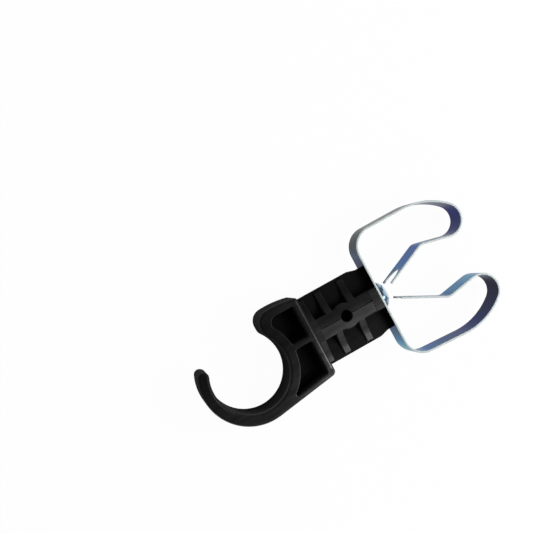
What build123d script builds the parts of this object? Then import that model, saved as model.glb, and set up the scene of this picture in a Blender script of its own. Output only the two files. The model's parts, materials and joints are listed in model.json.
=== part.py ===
from build123d import *
import os
from math import acos, atan2, cos, degrees, radians, sin

# Test tube holder: a moulded plastic body with a hook for a round rail at one end, and at the
# other end a spring steel strip, bent into two loops, that grips a tube between its inner arms.
# Millimetres and degrees. The origin is on the rail's axis at mid-height, +X points to the
# mouth of the clip, and the body is the same above and below the plane Z = 0. The plate, the
# screw and the strip are drawn around Y = 0 and then moved to the clip's own axis.

# Rail hook
rail_diameter = 23.2        # round rail that the hook snaps over
hook_wall = 3.55            # radial wall at the root of the hook
tip_wall = 3.45             # radial wall at the free tip
tip_angle = 149.8           # where the hook's arc ends, from +X
tip_corner_radius = 1.6
hook_height = 15.0
crown_radius = 0.9          # rounding of the hook's upper and lower edges

# Head, between the hook and the plate
ridge_offset = 8.55         # from the rail's surface to the cross ridge
ridge_thickness = 1.9
flank_drop = 0.6            # the straight flank's corner lies this far outside the rail's side
flank_corner_radius = 1.5
spur_inset = 2.9            # the spur's nose stops this far inside the rail's side
spur_rise = 1.5             # the spur's top lies this far outside the rail's side
spur_slope = 0.5            # fall of the spur's top from its nose to the ridge
spur_bulge = 0.75           # the spur's top is bowed outwards by this much
spur_radius = 3.8           # largest rounding of the nose's upper corner
spur_lip_radius = 3.2       # rounding between the nose and the bore
ridge_corner_radius = 1.0

# Pockets in the head, on both faces
bore_wall = 3.1             # between the bore and the pockets
flank_rim_wall = 1.5
spur_rim_wall = 1.7         # along the spur's top, at the ridge
nose_wall = 3.4             # thickest wall, behind the spur's nose
divider_thickness = 1.5
divider_offset = 0.25       # Y of the divider's centre
pocket_corner_radius = 0.8
flank_tip_radius = 0.5      # narrow end of the flank pocket
spur_pocket_radius = 2.4    # largest rounding of the corner behind the nose
pocket_lip_radius = 0.35
web_thickness = 2.2         # floor between the upper and the lower pockets, and the plate's web
mark_diameter = 2.0         # round ejector mark on the flank's corner
mark_depth = 0.2

# Plate that carries the clip
clip_axis_y = 0.5           # the plate, the screw and the strip are centred here, beside the rail's axis
plate_length = 22.25
plate_width = 21.5
corner_cut_depth = 0.75     # the plate narrows this much on each side before the clip
corner_cut_length = 2.6
corner_land_length = 1.8    # straight side left at the clip's end
corner_cut_radius = 2.5

# Centre rib, boss and gussets on the plate
rib_width = 6.4
rib_height = 10.0
rib_fall = 0.3              # the rib's faces fall this much from the groove to the sides
rib_edge_radius = 0.3
groove_offset = 0.35        # Y of the fine groove along the rib
groove_width = 0.5
groove_depth = 0.5
groove_start_gap = 0.5      # plain rib left at the step
end_block_length = 2.6      # flat block at the clip's end, where the groove stops
boss_diameter = 7.6
boss_from_end = 11.4        # from the end face to the boss's centre
boss_hole_diameter = 3.6
boss_hole_depth = 4.0
gusset_spacing = 7.6
gusset_shift = 0.3          # the pair sits this far towards the hook from the boss
gusset_thickness = 2.1
gusset_toe_height = 0.6     # above the web
gusset_toe_inset = 0.8      # from the toe to the plate's edge
gusset_bulge = 0.7          # the gusset's top bows out from a straight slope
gusset_edge_radius = 0.25
step_height = 10.8          # step beside the ridge, shaped like a taller gusset

# Screw that holds the clip
thread_diameter = 4.2
core_diameter = 3.1
thread_pitch = 1.4
shank_length = 9.5
head_diameter = 8.4
head_height = 2.7
head_rim = 0.8
head_flat_diameter = 2.0
dome_radius = 4.2
recess_span = 4.4
recess_width = 0.9
recess_depth = 1.5
pilot_diameter = 3.6        # the thread bites into this hole
pilot_end_gap = 0.5

# Spring strip
strip_thickness = 0.6
strip_width = 10.0
base_hole_clearance = 0.15
left_base_reach = 13.6      # from the axis to the start of the shoulder bend
right_base_reach = 15.0
shoulder_radius = 6.0
left_shoulder_turn = 90.0
right_shoulder_turn = 86.5
side_length = 11.6
bow_radius = 20.0
bow_turn = 43.0
mouth_radius = 5.0
mouth_turn = 150.3
lead_length = 8.1           # from the mouth bend to the kink
kink_radius = 3.0
kink_turn = 37.2
grip_length = 13.5          # from the kink to the tip of the fork
prong_width = 0.9
fork_depth = 5.4
flex_gap = 0.05             # between two lengths of the strip, where it flexes

bore_radius = rail_diameter / 2
ridge_inner = bore_radius + ridge_offset
ridge_outer = ridge_inner + ridge_thickness
end_face = ridge_outer + plate_length
boss_x = end_face - boss_from_end
half_strip = strip_thickness / 2
head_seat = end_face + strip_thickness      # where the screw's head bears on the strip
on_clip_axis = Pos(0, clip_axis_y, 0)


def polar(radius, angle):
    return radius * cos(radians(angle)), radius * sin(radians(angle))


def corner(sketch, x, y, radius):
    """Round the corner of a sketch that lies nearest to a point."""
    nearest = min(sketch.vertices(), key=lambda v: (v.X - x) ** 2 + (v.Y - y) ** 2)
    return fillet(nearest, radius)


def both_faces(cutter):
    return cutter + mirror(cutter, about=Plane.XY)


# Body

flank_y = -(bore_radius + flank_drop)
spur_y = bore_radius + spur_rise
nose_x = bore_radius - spur_inset
nose_height = spur_y - (bore_radius ** 2 - nose_x ** 2) ** 0.5
outer_radius = bore_radius + hook_wall
pocket_bore = bore_radius + bore_wall


def flank_tangent():
    """Angle where the straight flank leaves the outside of the hook."""
    reach = (ridge_outer ** 2 + flank_y ** 2) ** 0.5
    return degrees(atan2(flank_y, ridge_outer)) - degrees(acos(outer_radius / reach))


def hook_plan():
    """The hook's arc, thinner towards its rounded tip."""
    start = flank_tangent()
    end = tip_angle - 360
    along_flank = (sin(radians(start)), -cos(radians(start)))
    outside = TangentArc(polar(outer_radius, start), polar(bore_radius + tip_wall, end), tangent=along_flank)
    tip = Line(polar(bore_radius + tip_wall, end), polar(bore_radius, end))
    middle = polar(bore_radius, (start + end) / 2)
    inside = ThreePointArc(polar(bore_radius, end), middle, polar(bore_radius, start))
    root = Line(polar(bore_radius, start), polar(outer_radius, start))
    plan = make_face([outside, tip, inside, root])
    for radius in (bore_radius + tip_wall, bore_radius):
        plan = corner(plan, *polar(radius, end), tip_corner_radius)
    return plan


def head_plan():
    """The head's outline before the bore is cut: flank, ridge, spur and nose."""
    spur_end = (ridge_outer, spur_y - spur_slope)
    outline = Polyline(
        polar(outer_radius, flank_tangent()),
        (ridge_outer, flank_y),
        spur_end,
    )
    spur_top = SagittaArc(spur_end, (nose_x, spur_y), -spur_bulge)
    inner = Polyline((nose_x, spur_y), (nose_x, 0), (0, 0), polar(outer_radius, flank_tangent()))
    plan = make_face([outline, spur_top, inner]) - Circle(bore_radius)
    plan = corner(plan, ridge_outer, flank_y, flank_corner_radius)
    plan = corner(plan, ridge_outer, spur_y - spur_slope, ridge_corner_radius)
    plan = corner(plan, nose_x, spur_y, min(spur_radius, nose_height))
    return corner(plan, nose_x, (bore_radius ** 2 - nose_x ** 2) ** 0.5, spur_lip_radius)


def flank_line(x):
    """Y of the flank rim's inner edge."""
    start_x, start_y = polar(outer_radius, flank_tangent())
    slope = (flank_y - start_y) / (ridge_outer - start_x)
    return flank_y + slope * (x - ridge_outer) + flank_rim_wall


def flank_pocket():
    top = divider_offset - divider_thickness / 2
    corners = [(ridge_inner, top), (ridge_inner, flank_line(ridge_inner)), (0, flank_line(0)), (0, top)]
    plan = make_face(Polyline(*corners, close=True)) - Circle(pocket_bore)
    plan = corner(plan, ridge_inner, top, pocket_corner_radius)
    plan = corner(plan, ridge_inner, flank_line(ridge_inner), pocket_corner_radius)
    plan = corner(plan, pocket_bore, top, pocket_corner_radius)
    tip = min(plan.vertices(), key=lambda v: v.Y + v.X)
    return fillet(tip, flank_tip_radius)


def spur_pocket():
    left = nose_x + nose_wall
    bottom = divider_offset + divider_thickness / 2
    top = spur_y - spur_slope - spur_rim_wall
    plan = make_face(Polyline((ridge_inner, bottom), (ridge_inner, top), (left, top), (left, bottom), close=True))
    plan -= Circle(pocket_bore)
    side_length = top - (pocket_bore ** 2 - left ** 2) ** 0.5
    plan = corner(plan, left, top, min(spur_pocket_radius, side_length * 0.9))
    plan = corner(plan, ridge_inner, top, pocket_corner_radius)
    plan = corner(plan, ridge_inner, bottom, pocket_corner_radius)
    return corner(plan, pocket_bore, bottom, pocket_corner_radius)


def hook_and_head():
    top = hook_height / 2
    solid = extrude(hook_plan() + head_plan(), amount=top, both=True)
    rims = solid.edges().filter_by(lambda e: abs(abs(e.center().Z) - top) < 0.001)
    solid = fillet(rims, crown_radius)
    floor = Plane.XY.offset(web_thickness / 2)
    pockets = flank_pocket() + spur_pocket()
    solid -= both_faces(extrude(floor * pockets, amount=top))
    lips = solid.edges().filter_by(lambda e: abs(abs(e.center().Z) - top) < 0.001 and on_edge(pockets, e))
    solid = fillet(lips, pocket_lip_radius)
    mark_x = ridge_outer - flank_corner_radius
    mark_y = flank_y + flank_corner_radius
    mark = Pos(mark_x, mark_y, top - mark_depth / 2) * Cylinder(mark_diameter / 2, mark_depth)
    return solid - both_faces(mark)


def on_edge(plan, edge):
    """Whether an edge lies over the outline of a plan."""
    middle = edge.position_at(0.5)
    return plan.distance_to((middle.X, middle.Y, 0)) < 0.01


def plate():
    """Web of the plate, a little narrower at the clip's end."""
    half = plate_width / 2
    cut = half - corner_cut_depth
    land_x = end_face - corner_land_length
    cut_x = land_x - corner_cut_length
    upper = [(end_face, cut), (land_x, cut), (cut_x, half), (ridge_inner, half)]
    lower = [(x, -y) for x, y in reversed(upper)]
    plan = make_face(Polyline(*upper, *lower, close=True))
    for x, y in upper[1:3] + lower[1:3]:
        plan = corner(plan, x, y, corner_cut_radius)
    return extrude(plan, amount=web_thickness / 2, both=True)


def rib():
    """Rib and boss under a shallow roof, with a flat block at the clip's end."""
    start, end = ridge_inner, end_face - end_block_length
    top = rib_height / 2
    plan = Pos((start + end) / 2, 0) * Rectangle(end - start, rib_width) + Pos(boss_x, 0) * Circle(boss_diameter / 2)
    side_y = boss_diameter / 2
    side_z = top - rib_fall
    roof = Polyline(
        (side_y, side_z),
        (groove_offset, top),
        (-side_y, side_z),
        (-side_y, -side_z),
        (groove_offset, -top),
        (side_y, -side_z),
        close=True,
    )
    prism = extrude(Plane.YZ.offset(start) * make_face(roof), amount=end - start)
    solid = extrude(plan, amount=rib_height, both=True) & prism
    edges = solid.edges().filter_by(lambda e: on_edge(plan, e) and runs_along(e) and abs(e.center().Z) > side_z / 2)
    solid = fillet(edges, rib_edge_radius)
    block = Pos(end + end_block_length / 2, 0, 0) * Box(end_block_length, rib_width, rib_height)
    return solid + block


def runs_along(edge):
    """Whether an edge is neither upright nor square across the rib."""
    return abs(edge.tangent_at(0.5).X) > 0.1


def gusset(x, height):
    """Brace across the plate, its top bowed and falling from the rib to a low toe on each side."""
    toe = web_thickness / 2 + gusset_toe_height
    top = height / 2 - rib_edge_radius
    root_y = rib_width / 2
    toe_y = plate_width / 2 - gusset_toe_inset
    quarter = [
        Line((0, 0), (0, top)),
        Line((0, top), (root_y, top)),
        SagittaArc((root_y, top), (toe_y, toe), -gusset_bulge),
        Line((toe_y, toe), (toe_y, 0)),
        Line((toe_y, 0), (0, 0)),
    ]
    brace = extrude(Plane.YZ * make_face(quarter), amount=gusset_thickness / 2, both=True)
    bowed = brace.edges().filter_by(GeomType.CIRCLE)
    brace = both_faces(fillet(bowed, gusset_edge_radius))
    return Pos(x, 0, 0) * (brace + mirror(brace, about=Plane.XZ))


def rib_grooves():
    """Fine groove along the rib, broken at the boss's hole."""
    start = ridge_outer + gusset_thickness + groove_start_gap
    end = end_face - end_block_length
    middle_z = rib_height / 2 - groove_depth / 2
    line = Pos((start + end) / 2, groove_offset, middle_z) * Box(end - start, groove_width, groove_depth)
    return both_faces(line)


def body():
    carrier = plate() + rib()
    middle_x = boss_x - gusset_shift
    for x in (middle_x - gusset_spacing / 2, middle_x + gusset_spacing / 2):
        carrier += gusset(x, rib_height)
    carrier += gusset(ridge_outer + gusset_thickness / 2, step_height)
    hole_z = (rib_height - boss_hole_depth) / 2
    hole = both_faces(Pos(boss_x, 0, hole_z) * Cylinder(boss_hole_diameter / 2, boss_hole_depth))
    pilot_depth = shank_length - strip_thickness + pilot_end_gap
    pilot = Pos(end_face - pilot_depth / 2, 0, 0) * Rot(0, 90, 0) * Cylinder(pilot_diameter / 2, pilot_depth)
    solid = hook_and_head() + on_clip_axis * carrier
    return solid - on_clip_axis * (rib_grooves() + hole + pilot)


# Screw

def screw():
    """Pan head screw along the X axis, its thread drawn as a row of crests."""
    seat = head_seat
    tip = seat - shank_length
    crest = thread_diameter / 2
    root = core_diameter / 2
    points = [(tip, 0), (tip, root)]
    crest_x = tip + thread_pitch / 2
    while crest_x + thread_pitch / 2 < end_face:
        points += [(crest_x, crest), (crest_x + thread_pitch / 2, root)]
        crest_x += thread_pitch
    points += [(seat, root), (seat, head_diameter / 2), (seat + head_rim, head_diameter / 2)]
    crown = (seat + head_height, head_flat_diameter / 2)
    dome = RadiusArc(points[-1], crown, dome_radius)
    axis_end = (seat + head_height, 0)
    profile = make_face([Polyline(*points), dome, Line(crown, axis_end), Line(axis_end, points[0])])
    solid = revolve(profile, Axis.X)
    recess = Box(recess_depth, recess_span, recess_width) + Box(recess_depth, recess_width, recess_span)
    return solid - Pos(seat + head_height - recess_depth / 2, 0, 0) * recess


# Spring strip. Its centre line is a row of stretches, each a length and the angle that it turns
# through, followed from a pose: a point and a heading.

def bend(radius, turn):
    return radius * radians(abs(turn)), turn


def advance(pose, length, turn):
    x, y, heading = pose
    if turn == 0:
        return x + length * cos(radians(heading)), y + length * sin(radians(heading)), heading
    chord = 2 * length / radians(turn) * sin(radians(turn / 2))
    direction = radians(heading + turn / 2)
    return x + chord * cos(direction), y + chord * sin(direction), heading + turn


def beside(pose, offset):
    """Point at a distance to the left of a pose."""
    x, y, heading = pose
    return x - offset * sin(radians(heading)), y + offset * cos(radians(heading))


def strip_solid(pose, stretches, round_start):
    """Strip along the stretches. A round start is centred on the first pose."""
    start = pose
    edges = []
    for length, turn in stretches:
        middle = advance(pose, length / 2, turn / 2)
        end = advance(pose, length, turn)
        for offset in (half_strip, -half_strip):
            first, last = beside(pose, offset), beside(end, offset)
            edges.append(ThreePointArc(first, beside(middle, offset), last) if turn else Line(first, last))
        pose = end
    edges.append(Line(beside(pose, half_strip), beside(pose, -half_strip)))
    first, last = beside(start, half_strip), beside(start, -half_strip)
    behind = advance(start, -half_strip, 0)[:2]
    edges.append(ThreePointArc(first, behind, last) if round_start else Line(first, last))
    return extrude(make_face(edges), amount=strip_width / 2, both=True)


def shorten(stretch):
    """Half of a bend, cut short of the flexing point by the round end and its gap."""
    length, turn = stretch
    kept = length / 2 - half_strip - flex_gap
    return kept, turn * kept / length


def half_of(stretch):
    return stretch[0] / 2, stretch[1] / 2


def loop_stretches(shoulder_turn):
    """Shoulder, mouth, bow and kink of one loop."""
    shoulder = bend(shoulder_radius, -shoulder_turn)
    mouth = bend(mouth_radius, -mouth_turn)
    return shoulder, mouth, bend(bow_radius, -bow_turn), bend(kink_radius, kink_turn)


def loop_poses(base_reach, shoulder_turn):
    """Start of the shoulder bend and the two flexing points, for a loop on the +Y side."""
    shoulder, mouth, bow, kink = loop_stretches(shoulder_turn)
    bend_start = (end_face + half_strip, base_reach, 90.0)
    shoulder_flex = advance(bend_start, *half_of(shoulder))
    mouth_flex = shoulder_flex
    for length, turn in (half_of(shoulder), (side_length, 0), bow, half_of(mouth)):
        mouth_flex = advance(mouth_flex, length, turn)
    return bend_start, shoulder_flex, mouth_flex


def fork_cutter(tip):
    """U-shaped notch that leaves two prongs and clears the screw's head."""
    notch = strip_width - 2 * prong_width
    reach = strip_thickness * 4
    slot = Pos(-(fork_depth - notch / 2) / 2, 0, 0) * Box(fork_depth - notch / 2, reach, notch)
    round_end = Pos(notch / 2 - fork_depth, 0, 0) * Rot(90, 0, 0) * Cylinder(notch / 2, reach)
    x, y, heading = tip
    return Pos(x, y, 0) * Rot(0, 0, heading) * (slot + round_end)


def spring_base():
    """Straight middle of the strip, under the screw's head, with the start of both shoulders."""
    left, right = (shorten(bend(shoulder_radius, -turn)) for turn in (left_shoulder_turn, right_shoulder_turn))
    x, y, heading = advance((end_face + half_strip, right_base_reach, 90.0), *right)
    middle = (right_base_reach + left_base_reach, 0)
    solid = strip_solid((x, -y, 180.0 - heading), [right, middle, left], False)
    hole_radius = thread_diameter / 2 + base_hole_clearance
    return solid - Pos(end_face + half_strip, 0, 0) * Rot(0, 90, 0) * Cylinder(hole_radius, strip_thickness * 2)


def loop(base_reach, shoulder_turn):
    """Limb and arm of a loop on the +Y side."""
    shoulder, mouth, bow, kink = loop_stretches(shoulder_turn)
    bend_start, shoulder_flex, mouth_flex = loop_poses(base_reach, shoulder_turn)
    limb_stretches = [half_of(shoulder), (side_length, 0), bow, shorten(mouth)]
    limb = strip_solid(shoulder_flex, limb_stretches, True)
    arm_stretches = [half_of(mouth), (lead_length, 0), kink, (grip_length, 0)]
    arm = strip_solid(mouth_flex, arm_stretches, True)
    tip = mouth_flex
    for length, turn in arm_stretches:
        tip = advance(tip, length, turn)
    return limb, arm - fork_cutter(tip)


def flip_side(solid):
    return mirror(solid, about=Plane.XZ)


# Sub-parts

left_limb, left_arm = loop(left_base_reach, left_shoulder_turn)
right_limb, right_arm = (flip_side(s) for s in loop(right_base_reach, right_shoulder_turn))

nodes = {
    "hook_body": body(),
    "clip_screw": on_clip_axis * screw(),
    "spring_base": on_clip_axis * spring_base(),
    "left_spring_limb": on_clip_axis * left_limb,
    "left_spring_arm": on_clip_axis * left_arm,
    "right_spring_limb": on_clip_axis * right_limb,
    "right_spring_arm": on_clip_axis * right_arm,
}

os.makedirs("parts", exist_ok=True)
for name, solid in nodes.items():
    export_step(solid, f"parts/{name}.step")
    print(name, round(solid.volume, 1))
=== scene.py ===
import json
from math import ceil, copysign, cos, radians, sin

import bmesh
import bpy
from mathutils import Matrix, Vector
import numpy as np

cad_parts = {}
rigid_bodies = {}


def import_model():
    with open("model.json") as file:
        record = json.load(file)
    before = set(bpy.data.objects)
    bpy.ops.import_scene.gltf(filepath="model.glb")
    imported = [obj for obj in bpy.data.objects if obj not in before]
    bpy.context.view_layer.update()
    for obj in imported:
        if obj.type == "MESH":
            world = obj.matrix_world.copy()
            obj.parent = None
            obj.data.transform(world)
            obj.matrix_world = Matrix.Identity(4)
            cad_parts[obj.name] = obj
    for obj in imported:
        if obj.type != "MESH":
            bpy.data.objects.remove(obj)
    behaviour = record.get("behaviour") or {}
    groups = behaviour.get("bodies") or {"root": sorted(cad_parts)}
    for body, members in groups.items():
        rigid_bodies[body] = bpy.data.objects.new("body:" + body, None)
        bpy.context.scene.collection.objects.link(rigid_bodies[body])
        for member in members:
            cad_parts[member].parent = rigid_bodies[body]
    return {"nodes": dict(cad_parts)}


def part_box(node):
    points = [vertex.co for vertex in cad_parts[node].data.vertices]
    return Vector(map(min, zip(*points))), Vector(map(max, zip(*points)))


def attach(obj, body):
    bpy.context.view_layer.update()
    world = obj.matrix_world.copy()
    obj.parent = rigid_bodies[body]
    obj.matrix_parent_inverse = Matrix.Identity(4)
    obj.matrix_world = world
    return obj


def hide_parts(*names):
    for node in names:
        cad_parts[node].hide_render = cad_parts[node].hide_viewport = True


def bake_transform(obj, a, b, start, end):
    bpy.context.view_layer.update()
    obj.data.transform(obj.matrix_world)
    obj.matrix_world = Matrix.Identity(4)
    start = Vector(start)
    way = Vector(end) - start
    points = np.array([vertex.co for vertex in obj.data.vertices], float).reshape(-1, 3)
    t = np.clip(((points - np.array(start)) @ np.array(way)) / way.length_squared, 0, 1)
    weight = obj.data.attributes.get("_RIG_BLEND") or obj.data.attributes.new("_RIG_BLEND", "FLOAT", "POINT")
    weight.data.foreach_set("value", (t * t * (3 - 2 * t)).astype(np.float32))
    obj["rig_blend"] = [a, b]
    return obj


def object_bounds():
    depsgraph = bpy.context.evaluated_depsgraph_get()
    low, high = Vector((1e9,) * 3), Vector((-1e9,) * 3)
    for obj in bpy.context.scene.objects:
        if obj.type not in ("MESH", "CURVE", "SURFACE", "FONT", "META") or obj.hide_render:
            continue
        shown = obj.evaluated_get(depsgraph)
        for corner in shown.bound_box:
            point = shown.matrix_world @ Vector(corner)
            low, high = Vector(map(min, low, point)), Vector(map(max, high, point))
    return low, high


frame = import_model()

cadLow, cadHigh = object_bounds()
mm = 0.001
sharpAngle = radians(35)        # edges that fold more than this are shaded sharp
scene = bpy.context.scene
print("frame loaded: the solids span", [round(size / mm, 1) for size in cadHigh - cadLow], "mm")


# Camera: above the part, looking down past the hook

cameraView = {
    "place": (-20.4, 40.9, 305.5),      # mm
    "lookAt": (19.7, 24.1, 0.0),        # mm
    "imageUp": (0.479, 0.878, 0.0),
    "lens": 71.34,
    "clip": (0.01, 10),                 # metres
}


def makeCamera():
    cam = bpy.data.objects.new("camera", bpy.data.cameras.new("camera"))
    scene.collection.objects.link(cam)
    place = Vector(cameraView["place"]) * mm
    back = (place - Vector(cameraView["lookAt"]) * mm).normalized()
    across = Vector(cameraView["imageUp"]).cross(back).normalized()
    turn = Matrix((across, back.cross(across), back)).transposed()
    cam.matrix_world = Matrix.Translation(place) @ turn.to_4x4()
    cam.data.lens = cameraView["lens"]
    cam.data.clip_start, cam.data.clip_end = cameraView["clip"]
    scene.camera = cam


makeCamera()
print("camera set")


# Shader helpers

# A node with its settings, and its inputs given as values or as sockets to link
def addNode(tree, kind, inputs=None, **settings):
    node = tree.nodes.new(kind)
    for name, value in settings.items():
        setattr(node, name, value)
    for name, value in (inputs or {}).items():
        if isinstance(value, bpy.types.NodeSocket):
            tree.links.new(value, node.inputs[name])
        else:
            node.inputs[name].default_value = value
    return node


def noise(tree, place, scale, detail, distortion=0.0):
    inputs = {"Vector": place, "Scale": scale, "Detail": detail, "Distortion": distortion}
    return addNode(tree, "ShaderNodeTexNoise", inputs).outputs["Fac"]


def stretch(tree, place, scale):
    return addNode(tree, "ShaderNodeMapping", {"Vector": place, "Scale": scale}).outputs[0]


def combine(tree, operation, one, other=0.0):
    return addNode(tree, "ShaderNodeMath", {0: one, 1: other}, operation=operation).outputs[0]


def combineVectors(tree, operation, one, other):
    return addNode(tree, "ShaderNodeVectorMath", {0: one, 1: other}, operation=operation).outputs[0]


def vectorLength(tree, vector):
    return addNode(tree, "ShaderNodeVectorMath", {0: vector}, operation="LENGTH").outputs["Value"]


# A value carried from one span to another, and held at the ends
def mapRange(tree, value, span, result):
    return addNode(tree, "ShaderNodeMapRange", {
        "Value": value,
        "From Min": span[0],
        "From Max": span[1],
        "To Min": result[0],
        "To Max": result[1],
    }).outputs[0]


# Inputs 6 and 7 and output 2 of the Mix node are its colours
def mixColours(tree, share, one, other):
    inputs = {0: share, 6: one, 7: (*other, 1)}
    return addNode(tree, "ShaderNodeMix", inputs, data_type="RGBA").outputs[2]


# A colour ramp, its stops given as (place, colour)
def ramp(tree, factor, stops):
    node = addNode(tree, "ShaderNodeValToRGB", {"Fac": factor})
    elements = node.color_ramp.elements
    while len(elements) < len(stops):
        elements.new(0.5)
    for element, (place, colour) in zip(elements, stops):
        element.position = place
        element.color = (*colour, 1)
    return node.outputs["Color"]


def newMaterial(name):
    material = bpy.data.materials.new(name)
    material.use_nodes = True
    tree = material.node_tree
    return material, tree, tree.nodes["Principled BSDF"]


# Grain that the finishes share: a noise drawn out as wanted, and the roughness that it gives
def makeGrain():
    group = bpy.data.node_groups.new("grain", "ShaderNodeTree")
    for label in ("Place", "Scale"):
        group.interface.new_socket(label, in_out="INPUT", socket_type="NodeSocketVector")
    for label in ("Detail", "Distortion", "Smoothest", "Roughest"):
        group.interface.new_socket(label, in_out="INPUT", socket_type="NodeSocketFloat")
    for label in ("Height", "Roughness"):
        group.interface.new_socket(label, in_out="OUTPUT", socket_type="NodeSocketFloat")
    given = group.nodes.new("NodeGroupInput").outputs
    result = group.nodes.new("NodeGroupOutput").inputs
    drawn = stretch(group, given["Place"], given["Scale"])
    height = noise(group, drawn, 1.0, given["Detail"], given["Distortion"])
    rough = mapRange(group, height, (0, 1), (given["Smoothest"], given["Roughest"]))
    group.links.new(height, result["Height"])
    group.links.new(rough, result["Roughness"])
    return group


grain = makeGrain()


def addGrain(tree, place, scale, detail, roughness=(0.0, 1.0), distortion=0.0):
    return addNode(tree, "ShaderNodeGroup", {
        "Place": place,
        "Scale": scale,
        "Detail": detail,
        "Distortion": distortion,
        "Smoothest": roughness[0],
        "Roughest": roughness[1],
    }, node_tree=grain).outputs


# Bumps of a strength and of a depth in millimetres
def bumps(tree, height, size):
    inputs = {"Height": height, "Strength": size[0], "Distance": size[1] * mm}
    return addNode(tree, "ShaderNodeBump", inputs).outputs[0]


# Studio: white floor, a pale room and two lamps

studio = {
    "floorSize": 4.0,                   # metres
    "floorColour": (0.8, 0.8, 0.8, 1),
    "floorRoughness": 0.9,
    "whiteShare": 0.97,                 # share of plain white that the camera and the metal see in it
    "room": (
        # height, colour
        (0.1, (0.86, 0.88, 0.9)),
        (0.9, (0.07, 0.072, 0.075)),
    ),
    "lamps": (
        # name, direction from the part, distance and size in metres, power in watts
        ("keyLamp", (0.66, -0.16, 0.73), 0.6, 0.34, 2.0),
        ("softLamp", (0.40, -0.42, 0.81), 0.6, 0.26, 1.3),
    ),
}


# 1 for rays that the camera sends, and for those that metal and glass send on
def seenAsWhite(tree):
    path = addNode(tree, "ShaderNodeLightPath").outputs
    most = path["Is Camera Ray"]
    for name in ("Is Glossy Ray", "Is Transmission Ray"):
        most = combine(tree, "MAXIMUM", most, path[name])
    return most


def makeFloor():
    bm = bmesh.new()
    bmesh.ops.create_grid(bm, x_segments=1, y_segments=1, size=studio["floorSize"] / 2)
    bmesh.ops.translate(bm, verts=bm.verts, vec=(0, 0, cadLow.z))
    mesh = bpy.data.meshes.new("floor")
    bm.to_mesh(mesh)
    bm.free()
    floor = bpy.data.objects.new("floor", mesh)
    scene.collection.objects.link(floor)
    material, tree, shader = newMaterial("paleFloor")
    shader.inputs["Base Color"].default_value = studio["floorColour"]
    shader.inputs["Roughness"].default_value = studio["floorRoughness"]
    share = combine(tree, "MULTIPLY", seenAsWhite(tree), studio["whiteShare"])
    white = addNode(tree, "ShaderNodeEmission", {"Color": (1, 1, 1, 1), "Strength": 1.0})
    mixed = addNode(tree, "ShaderNodeMixShader", {0: share, 1: shader.outputs[0], 2: white.outputs[0]})
    tree.links.new(mixed.outputs[0], tree.nodes["Material Output"].inputs["Surface"])
    mesh.materials.append(material)


def makeRoom():
    world = bpy.data.worlds.new("room")
    scene.world = world
    world.use_nodes = True
    tree = world.node_tree
    tree.nodes.clear()
    direction = addNode(tree, "ShaderNodeTexCoord").outputs["Generated"]
    height = addNode(tree, "ShaderNodeSeparateXYZ", {0: direction}).outputs["Z"]
    colour = ramp(tree, height, studio["room"])
    room = addNode(tree, "ShaderNodeBackground", {"Color": colour, "Strength": 1.0})
    output = addNode(tree, "ShaderNodeOutputWorld")
    tree.links.new(room.outputs[0], output.inputs["Surface"])


def makeLamps():
    middle = (cadLow + cadHigh) / 2
    for name, direction, distance, size, power in studio["lamps"]:
        lamp = bpy.data.lights.new(name, "AREA")
        lamp.shape = "DISK"
        lamp.size = size
        lamp.energy = power
        place = middle + Vector(direction).normalized() * distance
        holder = bpy.data.objects.new(name, lamp)
        holder.location = place
        holder.rotation_euler = (place - middle).to_track_quat("Z", "Y").to_euler()
        scene.collection.objects.link(holder)


makeFloor()
makeRoom()
makeLamps()
scene.view_settings.view_transform = "Standard"
print("studio ready")


# Ends a bmesh as an object at the origin, smooth but for its sharp edges
def addPiece(name, bm, materials):
    mesh = bpy.data.meshes.new(name)
    for face in bm.faces:
        face.smooth = True
    for edge in bm.edges:
        edge.smooth = len(edge.link_faces) == 2 and edge.calc_face_angle() < sharpAngle
    bm.to_mesh(mesh)
    bm.free()
    for material in materials:
        mesh.materials.append(material)
    piece = bpy.data.objects.new(name, mesh)
    scene.collection.objects.link(piece)
    return piece


# Body: black moulded plastic, with every edge a little rounded

body = {
    "mergeWithin": 0.002,           # mm
    "flatWithin": 0.3,              # degrees, faces as flat as this are joined
    "edgeRound": 0.13,              # mm, on the edges that the solid leaves sharp
    # the web's floors between the ribs: a touch darker than the raised faces and far less glossy, a painted
    # shade in the recesses
    "floorColour": (0.0050, 0.0050, 0.0055),
    "raisedColour": (0.0052, 0.0052, 0.0054),
    # lighter than the rest: a painted sheen on the upright walls
    "paintedWallSheenColour": (0.0205, 0.0205, 0.0210),
    "floorTop": (1.2, 1.7),         # mm from the middle, where the web's floor ends
    "wallTilt": (0.25, 0.7),        # upright share of the normal between wall and level face
    "roughness": (0.28, 0.44),
    "gloss": 0.40,                  # specular level where a raised face looks at the eye
    "paintedShadeFloorGloss": 0.045,
    "plainGloss": 0.2,              # for viewers that take one level for the whole surface
    "glossFades": (0.30, 0.70),     # share of turning away over which the gloss goes
    "streakScale": (140.0, 620.0, 260.0),
    "streakDetail": 5.0,
    "streakGloss": ((0.3, 0.7), (0.75, 1.25)),      # streaks and their share of the gloss
    # painted highlight: more gloss towards the -Y flank; painted shade: less gloss on the hook's rims near
    # the rail's axis
    "paintedGlossAcross": ((3.0, -10.0), (0.34, 1.45)),   # mm and shares, towards one flank
    "paintedGlossOutward": ((13.5, 22.0), (0.40, 1.1)),   # mm and shares, away from the rail's axis
    "grainSize": 0.22,              # mm
    "grainDetail": 3.0,
    "bumps": (0.2, 0.02),           # strength and mm
    "sheen": 0.03,
    "sheenRoughness": 0.4,
}


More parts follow.
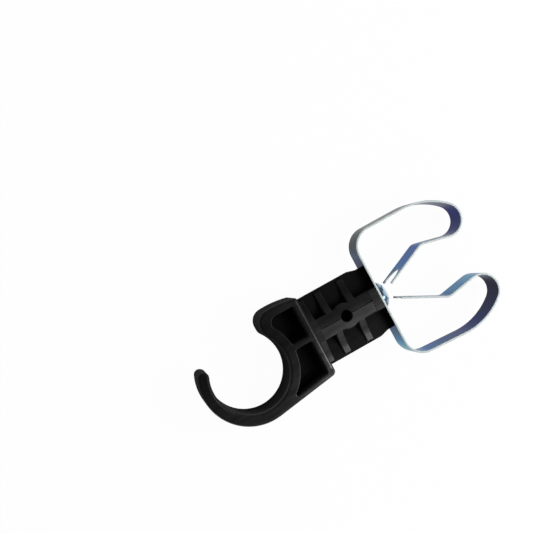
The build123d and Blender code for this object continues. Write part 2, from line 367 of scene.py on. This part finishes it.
def makePlastic():
    material, tree, shader = newMaterial("blackPlastic")
    coordinates = addNode(tree, "ShaderNodeTexCoord").outputs
    place = coordinates["Object"]
    fine = [1 / (body["grainSize"] * mm)] * 3
    skin = addGrain(tree, place, fine, body["grainDetail"])
    streaks = noise(tree, stretch(tree, place, body["streakScale"]), 1.0, body["streakDetail"])
    rough = mapRange(tree, streaks, (0, 1), body["roughness"])

    # painted shade on the floors between the ribs, the raised faces, and a painted sheen on the upright
    # walls
    axes = addNode(tree, "ShaderNodeSeparateXYZ", {0: place}).outputs
    fromMiddle = combine(tree, "ABSOLUTE", axes["Z"])
    raised = mapRange(tree, fromMiddle, [height * mm for height in body["floorTop"]], (0, 1))
    upright = addNode(tree, "ShaderNodeSeparateXYZ", {0: coordinates["Normal"]}).outputs["Z"]
    wall = mapRange(tree, combine(tree, "ABSOLUTE", upright), body["wallTilt"], (1, 0))
    level = ramp(tree, raised, ((0.0, body["floorColour"]), (1.0, body["raisedColour"])))
    colour = mixColours(tree, wall, level, body["paintedWallSheenColour"])

    # painted shade and highlight: the floors between the ribs get little gloss, the gloss is raised towards
    # the -Y flank where the light falls, and lowered on the hook's rims near the rail's axis as the shade of
    # their crowns
    lit = combine(tree, "MAXIMUM", raised, wall)
    most = mapRange(tree, lit, (0, 1), (body["paintedShadeFloorGloss"], body["gloss"]))
    outward = vectorLength(tree, combineVectors(tree, "MULTIPLY", place, (1, 1, 0)))
    for value, key in ((axes["Y"], "paintedGlossAcross"), (outward, "paintedGlossOutward")):
        span, shares = body[key]
        share = mapRange(tree, value, [end * mm for end in span], shares)
        most = combine(tree, "MULTIPLY", most, share)
    most = combine(tree, "MULTIPLY", most, mapRange(tree, streaks, *body["streakGloss"]))
    facing = addNode(tree, "ShaderNodeLayerWeight", {"Blend": 0.5}).outputs["Facing"]
    gloss = mapRange(tree, facing, body["glossFades"], (most, 0.0))

    tree.links.new(colour, shader.inputs["Base Color"])
    tree.links.new(rough, shader.inputs["Roughness"])
    tree.links.new(bumps(tree, skin["Height"], body["bumps"]), shader.inputs["Normal"])
    shader.inputs["Specular IOR Level"].default_value = body["plainGloss"]
    tree.links.new(gloss, shader.inputs["Specular IOR Level"])
    shader.inputs["Sheen Weight"].default_value = body["sheen"]
    shader.inputs["Sheen Roughness"].default_value = body["sheenRoughness"]
    return material


def makeBody():
    bm = bmesh.new()
    bm.from_mesh(frame["nodes"]["hook_body"].data)
    bmesh.ops.remove_doubles(bm, verts=bm.verts, dist=body["mergeWithin"] * mm)
    bmesh.ops.dissolve_limit(
        bm, angle_limit=radians(body["flatWithin"]), verts=bm.verts[:], edges=bm.edges[:],
    )
    sharp = [edge for edge in bm.edges if edge.is_manifold and edge.calc_face_angle() > sharpAngle]
    bmesh.ops.bevel(
        bm, geom=sharp, offset=body["edgeRound"] * mm, offset_type="OFFSET", clamp_overlap=True,
        segments=2, profile=0.5, affect="EDGES", material=-1,
    )
    loose = [edge for edge in bm.edges if not edge.is_manifold]
    print("body: edges left open", len(loose), "volume", round(bm.calc_volume() / mm ** 3, 1), "mm3")
    piece = addPiece("mouldedBody", bm, [makePlastic()])
    weighted = piece.modifiers.new("evenShading", "WEIGHTED_NORMAL")
    weighted.keep_sharp = True
    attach(piece, "holder")
    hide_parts("hook_body")
    print("body:", len(piece.data.polygons), "faces")


makeBody()


# Lengths typed in millimetres are kept in metres. Turns stay in degrees
def inMetres(settings):
    return {key: value if key.endswith("Turn") else value * mm for key, value in settings.items()}


# Spring strip: one bent strip, made as a base under the screw and two lengths on each side

strip = inMetres({
    "thickness": 0.6,
    "edgeRound": 0.08,
    "straightStep": 1.2,
    "stepTurn": 3.0,
    "shoulderRadius": 6.0,
    "side": 11.6,
    "bowRadius": 20.0,
    "bowTurn": 43.0,
    "mouthRadius": 5.0,
    "mouthTurn": 150.3,
    "lead": 8.1,
    "kinkRadius": 3.0,
    "kinkTurn": 37.2,
    "grip": 13.5,
    "prongWidth": 0.9,
    "forkDepth": 5.4,
    "holeRadius": 2.25,
    "blendReach": 2.5,      # half the length over which an arm turns away from its limb
})
springs = {
    "left": inMetres({"reach": 13.6, "shoulderTurn": 90.0}),
    "right": inMetres({"reach": 15.0, "shoulderTurn": 86.5}),
}
blendLine = Vector((-0.3, -0.95, 0))        # the way an arm leaves its limb, on the left
armLow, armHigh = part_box("left_spring_arm")
strip["width"] = armHigh.z - armLow.z
screwLow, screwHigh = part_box("clip_screw")
axisY = (screwLow.y + screwHigh.y) / 2
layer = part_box("hook_body")[1].x + strip["thickness"] / 2       # middle of the base's thickness


# A bend as its length and the angle it turns, clockwise from above
def bend(radius, turn):
    return radius * radians(abs(turn)), -turn


def advance(pose, length, turn):
    x, y, heading = pose
    if turn == 0:
        return x + length * cos(radians(heading)), y + length * sin(radians(heading)), heading
    chord = 2 * length / radians(turn) * sin(radians(turn / 2))
    direction = radians(heading + turn / 2)
    return x + chord * cos(direction), y + chord * sin(direction), heading + turn


def beside(pose, offset):
    x, y, heading = pose
    return x - offset * sin(radians(heading)), y + offset * cos(radians(heading))


# The strip's rounded cross-section, set across a pose. Two points near each corner keep the wall's
# shading flat
def section(bm, pose):
    width, edgeRound = strip["width"], strip["edgeRound"]
    made = bmesh.ops.create_grid(bm, x_segments=3, y_segments=1, size=0.5)["verts"]
    corners = [vert for vert in made if abs(vert.co.x) > 0.4]
    bmesh.ops.scale(bm, verts=made, vec=(width, strip["thickness"], 1))
    for vert in made:
        if vert not in corners:
            vert.co.x = copysign(width / 2 - 3 * edgeRound, vert.co.x)
    bmesh.ops.dissolve_faces(bm, faces=bm.faces[:], use_verts=False)
    bmesh.ops.bevel(
        bm, geom=corners, offset=edgeRound, offset_type="OFFSET",
        segments=2, profile=0.5, affect="VERTICES", material=-1,
    )
    x, y, heading = pose
    upright = Matrix.Rotation(radians(90), 4, "Y")
    placed = Matrix.Translation((x, y, 0)) @ Matrix.Rotation(radians(heading), 4, "Z") @ upright
    bmesh.ops.transform(bm, matrix=placed, verts=bm.verts)
    return bm.faces[:][0]


# Spins or extrudes the section by one step, and gives its new end
def oneStep(bm, face, before, after, length, turn):
    if turn:
        made = bmesh.ops.spin(
            bm, geom=[face], cent=(*beside(before, length / radians(turn)), 0), axis=(0, 0, 1),
            dvec=(0, 0, 0), angle=radians(turn), steps=1, use_merge=False, use_duplicate=False,
        )["geom_last"]
    else:
        made = bmesh.ops.extrude_face_region(bm, geom=[face])["geom"]
        heading = radians(after[2])
        moved = [part for part in made if isinstance(part, bmesh.types.BMVert)]
        bmesh.ops.translate(bm, verts=moved, vec=Vector((cos(heading), sin(heading), 0)) * length)
    return next(part for part in made if isinstance(part, bmesh.types.BMFace))


# Carries the section along the stretches, and notes how far along each ring lies
def sweep(bm, face, pose, stretches, start):
    along = bm.verts.layers.float.new("along")
    travelled = start
    for vert in face.verts:
        vert[along] = travelled
    for length, turn in stretches:
        if turn:
            count = ceil(abs(turn) / strip["stepTurn"])
        else:
            count = ceil(length / strip["straightStep"])
        for _ in range(count):
            before, pose = pose, advance(pose, length / count, turn / count)
            travelled += length / count
            face = oneStep(bm, face, before, pose, length / count, turn / count)
            for vert in face.verts:
                vert[along] = travelled
    return pose


def placeOnAxis(bm, mirrored):
    if mirrored:
        bmesh.ops.scale(bm, verts=bm.verts, vec=(1, -1, 1))
    bmesh.ops.translate(bm, verts=bm.verts, vec=(0, axisY, 0))
    bmesh.ops.recalc_face_normals(bm, faces=bm.faces)


# One length of the strip, closed at both ends, with its blued walls and its bare sheared edges
def ribbon(name, pose, stretches, start, total, mirrored, walls):
    bm = bmesh.new()
    end = sweep(bm, section(bm, pose), pose, stretches, start)
    along = bm.verts.layers.float["along"]
    uv = bm.loops.layers.uv.new("alongStrip")
    for face in bm.faces:
        face.normal_update()
        isEnd = all(abs(vert[along] - face.verts[0][along]) < 1e-7 for vert in face.verts)
        face.material_index = 1 if isEnd or abs(face.normal.z) > 0.3 else 0
        for loop in face.loops:
            loop[uv].uv = (loop.vert[along] / total, loop.vert.co.z / strip["width"] + 0.5)
    placeOnAxis(bm, mirrored)
    return addPiece(name, bm, [walls, shearedEdge]), end


# Takes a cutter's shape out of a piece
def cutAway(piece, cutter):
    cut = piece.modifiers.new("cut", "BOOLEAN")
    cut.operation = "DIFFERENCE"
    cut.solver = "EXACT"
    cut.object = cutter
    made = bpy.data.meshes.new_from_object(piece.evaluated_get(bpy.context.evaluated_depsgraph_get()))
    piece.modifiers.clear()
    old, piece.data = piece.data, made
    bpy.data.meshes.remove(old)
    bpy.data.meshes.remove(cutter.data)


def finishCutter(bm, mirrored):
    placeOnAxis(bm, mirrored)
    for face in bm.faces:
        face.material_index = 1
    return addPiece("cutter", bm, [shearedEdge, shearedEdge])


# U-shaped notch that leaves a prong on each side
def forkCutter(tip, mirrored):
    notch = strip["width"] - 2 * strip["prongWidth"]
    reach = strip["thickness"] * 2
    bm = bmesh.new()
    bmesh.ops.create_circle(bm, cap_ends=True, segments=64, radius=notch / 2)
    back = [vert for vert in bm.verts if vert.co.x > 1e-9]
    bmesh.ops.translate(bm, verts=back, vec=(strip["forkDepth"], 0, 0))
    bmesh.ops.translate(bm, verts=bm.verts, vec=(notch / 2 - strip["forkDepth"], 0, 0))
    made = bmesh.ops.extrude_face_region(bm, geom=bm.faces[:])["geom"]
    raised = [part for part in made if isinstance(part, bmesh.types.BMVert)]
    bmesh.ops.translate(bm, verts=raised, vec=(0, 0, reach * 2))
    bmesh.ops.translate(bm, verts=bm.verts, vec=(0, 0, -reach))
    x, y, heading = tip
    turned = Matrix.Rotation(radians(heading), 4, "Z") @ Matrix.Rotation(radians(90), 4, "X")
    bmesh.ops.transform(bm, matrix=Matrix.Translation((x, y, 0)) @ turned, verts=bm.verts)
    return finishCutter(bm, mirrored)


def holeCutter(x, radius):
    bm = bmesh.new()
    bmesh.ops.create_cone(
        bm, cap_ends=True, segments=48, radius1=radius, radius2=radius, depth=strip["thickness"] * 4,
    )
    placed = Matrix.Translation((x, 0, 0)) @ Matrix.Rotation(radians(90), 4, "Y")
    bmesh.ops.transform(bm, matrix=placed, verts=bm.verts)
    return finishCutter(bm, False)


# Blued steel: colours left by the heat along each length of the strip, by share of its length, with the
# light and dark that each stretch reflects painted in too, such as the light blue of the right loop's lead

bluedTintAndPaintedReflections = {
    "base": (
        # share of the length, colour
        (0.0, "5080a0"),
        (0.04, "48739a"),
        (0.08, "43677e"),
        (0.14, "3e5576"),
        (0.5, "3a4168"),
        (0.88, "2f314f"),
        (0.94, "3a435f"),
        (1.0, "42536a"),
    ),
    "left": (
        (0.0, "42536a"),
        (0.04, "464d50"),
        (0.10, "464b4b"),
        (0.22, "4a5052"),
        (0.36, "44485a"),
        (0.46, "373a62"),
        (0.54, "3b3e69"),
        (0.61, "444869"),
        (0.66, "32386a"),
        (0.74, "38507f"),
        (0.80, "3c5b95"),
        (0.89, "406399"),
        (0.93, "42709a"),
        (1.0, "4a7ea2"),
    ),
    "right": (
        (0.0, "4f8ba7"),
        (0.045, "6b9eac"),
        (0.09, "5585a6"),
        (0.125, "446899"),
        (0.20, "36557f"),
        (0.28, "303f6e"),
        (0.36, "363b66"),
        (0.44, "3c3f54"),
        (0.52, "3d3c4b"),
        (0.58, "313240"),
        (0.605, "2f3452"),
        (0.625, "42618f"),
        (0.65, "6a94ae"),
        (0.68, "6890ac"),
        (0.72, "547ea0"),
        (0.76, "4e7b9d"),
        (0.81, "3e658f"),
        (1.0, "44679a"),
    ),
}
bluedWalls = {
    "brushScale": (6.0, 240.0, 1.0),        # marks drawn out along the strip
    "brushDetail": 4.0,
    "roughness": (0.16, 0.34),
    "driftScale": 160.0,
    "driftDetail": 1.0,
    "drift": 0.015,                         # share of the length by which the colours wander
    "glancing": (0.8, 0.4),                 # shares of its own colour and of white at a glancing angle
}
bareEdges = {
    "colour": (0.50, 0.54, 0.54, 1),
    "metallic": 0.6,
    "streakScale": (900.0, 900.0, 2500.0),
    "streakDetail": 3.0,
    "roughness": (0.55, 0.75),
    "bumps": (0.12, 0.02),                  # strength and mm
}


def fromHex(code):
    channels = [int(code[at:at + 2], 16) / 255 for at in (0, 2, 4)]
    return [((c + 0.055) / 1.055) ** 2.4 if c > 0.04 else c / 12.92 for c in channels]


def makeBlued(name, stops):
    material, tree, shader = newMaterial(name)
    along = addNode(tree, "ShaderNodeUVMap", uv_map="alongStrip").outputs[0]
    scale, detail = bluedWalls["brushScale"], bluedWalls["brushDetail"]
    brush = addGrain(tree, along, scale, detail, bluedWalls["roughness"])
    place = addNode(tree, "ShaderNodeTexCoord").outputs["Object"]
    cloud = noise(tree, place, bluedWalls["driftScale"], bluedWalls["driftDetail"])
    drift = mapRange(tree, cloud, (0, 1), (-bluedWalls["drift"], bluedWalls["drift"]))
    share = addNode(tree, "ShaderNodeSeparateXYZ", {0: along}).outputs["X"]
    moved = combine(tree, "ADD", share, drift)
    # the ramp holds the blued tint and the painted reflections along the strip
    colour = ramp(tree, moved, [(at, fromHex(code)) for at, code in stops])
    own, white = bluedWalls["glancing"]
    inputs = {0: colour, 1: [own] * 3, 2: [white] * 3}
    glancing = addNode(tree, "ShaderNodeVectorMath", inputs, operation="MULTIPLY_ADD").outputs[0]
    shader.inputs["Metallic"].default_value = 1.0
    tree.links.new(colour, shader.inputs["Base Color"])
    tree.links.new(brush["Roughness"], shader.inputs["Roughness"])
    tree.links.new(glancing, shader.inputs["Specular Tint"])
    return material


def makeShearedEdge():
    material, tree, shader = newMaterial("shearedEdge")
    place = addNode(tree, "ShaderNodeTexCoord").outputs["Object"]
    scale, detail = bareEdges["streakScale"], bareEdges["streakDetail"]
    streaks = addGrain(tree, place, scale, detail, bareEdges["roughness"])
    shader.inputs["Metallic"].default_value = bareEdges["metallic"]
    shader.inputs["Base Color"].default_value = bareEdges["colour"]
    tree.links.new(streaks["Roughness"], shader.inputs["Roughness"])
    tree.links.new(bumps(tree, streaks["Height"], bareEdges["bumps"]), shader.inputs["Normal"])
    return material


# The straight middle of the strip, flat against the end block
def makeBase():
    low, high = -springs["right"]["reach"], springs["left"]["reach"]
    length = high - low
    base, _ = ribbon("springBase", (layer, low, 90.0), [(length, 0)], 0, length, False, bluedSteel["base"])
    cutAway(base, holeCutter(layer, strip["holeRadius"]))
    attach(base, "holder")
    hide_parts("spring_base")
    print("base:", round(length / mm, 1), "mm of strip")


# One side's loop: shoulder, side, mouth and forked inner arm
def makeLoop(side, spring):
    mirrored = side == "right"
    flip = -1 if mirrored else 1
    reach = spring["reach"]
    shoulder = bend(strip["shoulderRadius"], spring["shoulderTurn"])
    halfSide = (strip["side"] / 2, 0)
    bow = bend(strip["bowRadius"], strip["bowTurn"])
    mouth = bend(strip["mouthRadius"], strip["mouthTurn"])
    halfMouth = bend(strip["mouthRadius"], strip["mouthTurn"] / 2)
    kink = bend(strip["kinkRadius"], -strip["kinkTurn"])
    near = [shoulder, halfSide]
    far = [halfSide, bow, mouth, (strip["lead"], 0), kink, (strip["grip"], 0)]
    nearLength = sum(length for length, turn in near)
    total = nearLength + sum(length for length, turn in far)
    start = (layer, reach, 90.0)
    walls = bluedSteel[side]
    root, middle = ribbon(f"{side}SpringRoot", start, near, 0, total, mirrored, walls)
    arm, tip = ribbon(f"{side}SpringArm", middle, far, nearLength, total, mirrored, walls)
    cutAway(arm, forkCutter(tip, mirrored))

    # the limb bends away over the whole shoulder
    high = advance(start, *shoulder)
    bendStart = (layer, axisY + flip * reach, 0)
    bendEnd = (high[0], axisY + flip * high[1], 0)
    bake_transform(root, "holder", f"{side}_limb", bendStart, bendEnd)

    # the arm bends away about the middle of the mouth
    pose = middle
    for length, turn in (halfSide, bow, halfMouth):
        pose = advance(pose, length, turn)
    hinge = Vector((pose[0], pose[1], 0))
    away = blendLine * strip["blendReach"]
    before, after = hinge - away, hinge + away
    for point in (before, after):
        point.y = axisY + flip * point.y
    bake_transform(arm, f"{side}_limb", f"{side}_arm", tuple(before), tuple(after))

    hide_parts(f"{side}_spring_limb")
    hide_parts(f"{side}_spring_arm")
    print(side, "loop:", round(total / mm, 1), "mm of strip")


shearedEdge = makeShearedEdge()
bluedSteel = {name: makeBlued(f"{name}BluedSteel", stops) for name, stops in bluedTintAndPaintedReflections.items()}
makeBase()
for side, spring in springs.items():
    makeLoop(side, spring)


# Screw: bright zinc, faintly blue where the coating is thin, and a painted dark reflection round the rim of
# its head

zinc = {
    "coating": (
        # patch, colour
        (0.42, (0.50, 0.60, 0.70)),
        (0.55, (0.70, 0.76, 0.82)),
    ),
    # darker and bluer: a painted reflection band round the head's rim
    "rim": (0.20, 0.32, 0.42),
    "rimSpan": (3.0, 4.2),              # mm from the axis
    "roughness": (0.14, 0.26),
    "patchSize": 1.0,                   # mm
    "patchDetail": 4.0,
    "patchDistortion": 0.6,
    "bumps": (0.2, 0.03),               # strength and mm
}


def makeZinc():
    material, tree, shader = newMaterial("brightZinc")
    place = addNode(tree, "ShaderNodeTexCoord").outputs["Object"]
    scale = [1 / (zinc["patchSize"] * mm)] * 3
    patches = addGrain(tree, place, scale, zinc["patchDetail"], zinc["roughness"], zinc["patchDistortion"])
    coating = ramp(tree, patches["Height"], zinc["coating"])
    # the head's rim gets a painted dark reflection
    onAxis = combineVectors(tree, "SUBTRACT", place, (0, axisY, 0))
    radius = vectorLength(tree, combineVectors(tree, "MULTIPLY", onAxis, (0, 1, 1)))
    rimShare = mapRange(tree, radius, [end * mm for end in zinc["rimSpan"]], (0, 1))
    shader.inputs["Metallic"].default_value = 1.0
    tree.links.new(mixColours(tree, rimShare, coating, zinc["rim"]), shader.inputs["Base Color"])
    tree.links.new(patches["Roughness"], shader.inputs["Roughness"])
    tree.links.new(bumps(tree, patches["Height"], zinc["bumps"]), shader.inputs["Normal"])
    return material


screwMesh = frame["nodes"]["clip_screw"].data
screwMesh.materials.clear()
screwMesh.materials.append(makeZinc())
print("screw finished")
